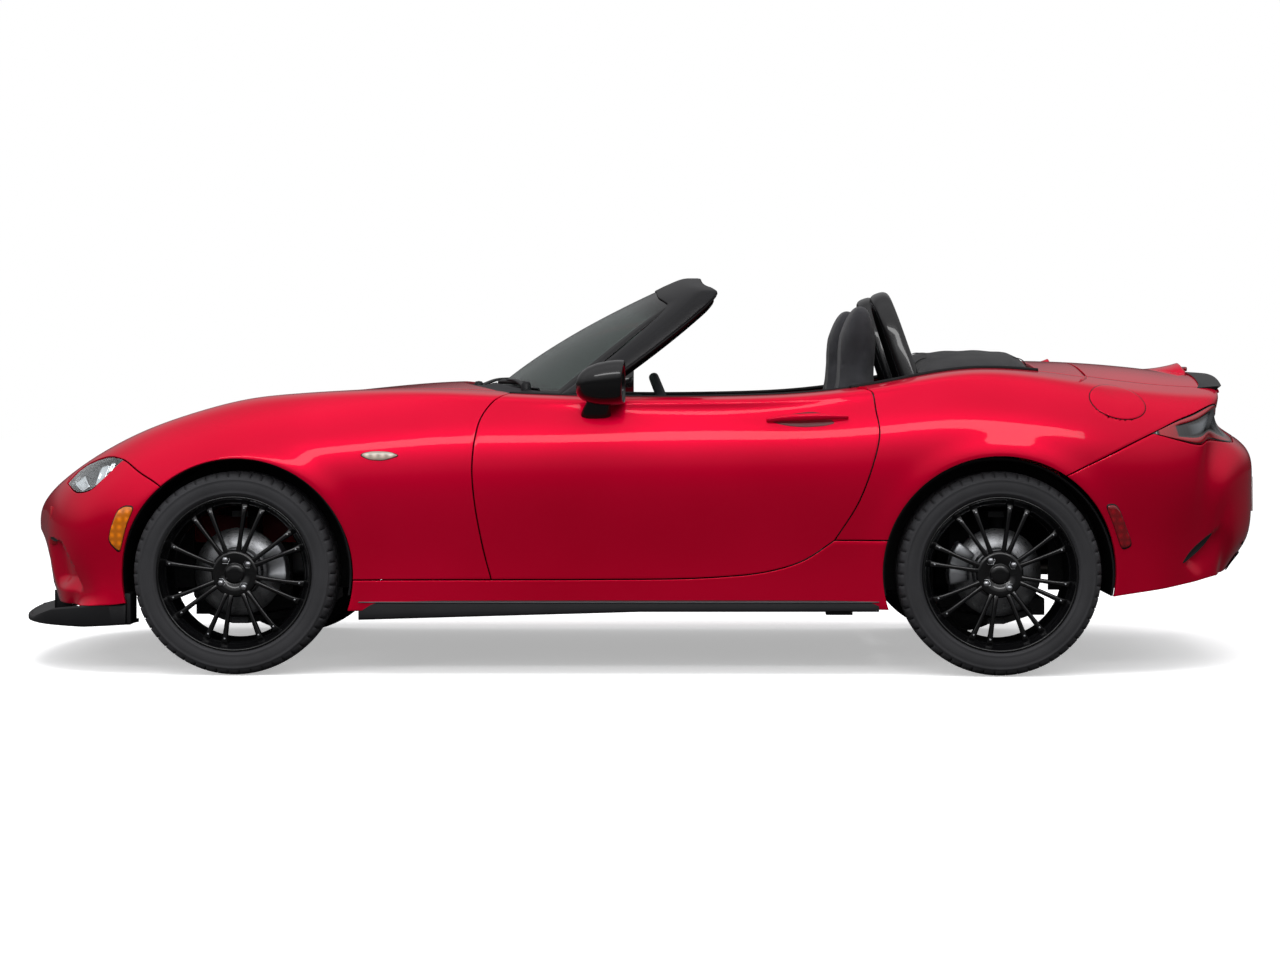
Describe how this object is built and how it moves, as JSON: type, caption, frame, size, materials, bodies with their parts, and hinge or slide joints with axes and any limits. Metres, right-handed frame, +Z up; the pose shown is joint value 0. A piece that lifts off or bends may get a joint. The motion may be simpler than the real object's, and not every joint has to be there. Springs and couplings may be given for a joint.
{
  "type": "two-seat roadster",
  "caption": "Two-seat open roadster with its cloth top folded: wheels that roll and steer, doors, bonnet, boot lid and fuel flap that open.",
  "frame": {"origin": "on the ground under the middle of the car", "axes": "-X is the way the car faces, -Y its left side, +Z up"},
  "size_m": [3.9368, 1.918, 1.226],
  "materials": {
    "paint": "gloss clearcoat",
    "gloss_black": "gloss",
    "black_plastic": "grained",
    "glass": "clear, slightly green",
    "lamp_lens": "clear",
    "tail_lens": "red and clear",
    "rim_paint": "gloss black over cast alloy",
    "tyre_rubber": "matt",
    "brake_iron": "turned",
    "cast_alloy": "as cast",
    "chassis_metal": "satin black",
    "exhaust_steel": "brushed",
    "seat_cloth": "woven",
    "top_cloth": "canvas",
    "trim_vinyl": "grained"
  },
  "bodies": {
    "chassis": {"floor_pan": "chassis_metal", "bulkhead": "chassis_metal", "boot_tub": "chassis_metal", "front_bumper": "paint", "grille": "black_plastic", "front_splitter": "gloss_black", "front_fenders": "paint", "cowl": "black_plastic", "windscreen_frame": "gloss_black", "windscreen": "glass", "sills": "paint", "side_skirts": "black_plastic", "rear_quarters": "paint", "rear_deck": "paint", "rear_bumper": "paint", "headlamps": "lamp_lens", "tail_lamps": "tail_lens", "arch_liners": "black_plastic", "soft_top": "top_cloth", "roll_hoops": "gloss_black", "seat_cushions": "seat_cloth", "seat_backs": "seat_cloth", "dashboard": "trim_vinyl", "centre_console": "trim_vinyl", "engine": "cast_alloy", "exhaust": "exhaust_steel", "front_axle": "chassis_metal", "rear_axle": "chassis_metal", "knuckle_rear_left": "cast_alloy", "knuckle_rear_right": "cast_alloy"},
    "door_left": {"door_left": "paint", "mirror_left": "gloss_black"},
    "door_right": {"door_right": "paint", "mirror_right": "gloss_black"},
    "bonnet": {"hood": "paint"},
    "boot": {"boot_lid": "paint", "boot_spoiler": "gloss_black"},
    "fuel_flap": {"fuel_lid": "paint"},
    "steering": {"steering_wheel": "trim_vinyl"},
    "knuckle_left": {"knuckle_front_left": "cast_alloy"},
    "knuckle_right": {"knuckle_front_right": "cast_alloy"},
    "wheel_front_left": {"rim_front_left": "rim_paint", "tyre_front_left": "tyre_rubber", "disc_front_left": "brake_iron"},
    "wheel_front_right": {"rim_front_right": "rim_paint", "tyre_front_right": "tyre_rubber", "disc_front_right": "brake_iron"},
    "wheel_rear_left": {"rim_rear_left": "rim_paint", "tyre_rear_left": "tyre_rubber", "disc_rear_left": "brake_iron"},
    "wheel_rear_right": {"rim_rear_right": "rim_paint", "tyre_rear_right": "tyre_rubber", "disc_rear_right": "brake_iron"}
  },
  "joints": [
    {"name": "steer_left", "type": "hinge", "parent": "chassis", "child": "knuckle_left", "pos_m": [-1.2115, -0.7, 0.308], "axis": [0, 0, 1], "range_deg": [-30, 30]},
    {"name": "steer_right", "type": "hinge", "parent": "chassis", "child": "knuckle_right", "pos_m": [-1.2115, 0.7, 0.308], "axis": [0, 0, 1], "range_deg": [-30, 30]},
    {"name": "steering_wheel_turn", "type": "hinge", "parent": "chassis", "child": "steering", "pos_m": [0.115, -0.37, 0.744], "axis": [0.9272, 0, 0.3746], "range_deg": [-450, 450]},
    {"name": "spin_front_left", "type": "hinge", "parent": "knuckle_left", "child": "wheel_front_left", "pos_m": [-1.2115, -0.7475, 0.308], "axis": [0, 1, 0], "continuous": true},
    {"name": "spin_front_right", "type": "hinge", "parent": "knuckle_right", "child": "wheel_front_right", "pos_m": [-1.2115, 0.7475, 0.308], "axis": [0, 1, 0], "continuous": true},
    {"name": "spin_rear_left", "type": "hinge", "parent": "chassis", "child": "wheel_rear_left", "pos_m": [1.0985, -0.7525, 0.308], "axis": [0, 1, 0], "continuous": true},
    {"name": "spin_rear_right", "type": "hinge", "parent": "chassis", "child": "wheel_rear_right", "pos_m": [1.0985, 0.7525, 0.308], "axis": [0, 1, 0], "continuous": true},
    {"name": "door_left_swing", "type": "hinge", "parent": "chassis", "child": "door_left", "pos_m": [-0.402, -0.8, 0.56], "axis": [0, 0, -1], "range_deg": [0, 65]},
    {"name": "door_right_swing", "type": "hinge", "parent": "chassis", "child": "door_right", "pos_m": [-0.402, 0.8, 0.56], "axis": [0, 0, 1], "range_deg": [0, 65]},
    {"name": "bonnet_lift", "type": "hinge", "parent": "chassis", "child": "bonnet", "pos_m": [-0.395, 0, 0.825], "axis": [0, 1, 0], "range_deg": [0, 50]},
    {"name": "boot_lift", "type": "hinge", "parent": "chassis", "child": "boot", "pos_m": [1.262, 0, 0.866], "axis": [0, -1, 0], "range_deg": [0, 60]},
    {"name": "fuel_flap_swing", "type": "hinge", "parent": "chassis", "child": "fuel_flap", "pos_m": [1.3651, -0.7399, 0.8474], "axis": [0, -0.7353, -0.6778], "range_deg": [0, 90]}
  ],
  "couplings": [
    {"joint": "steer_right", "follows": "steer_left", "ratio": 1},
    {"joint": "steering_wheel_turn", "follows": "steer_left", "ratio": 15}
  ]
}
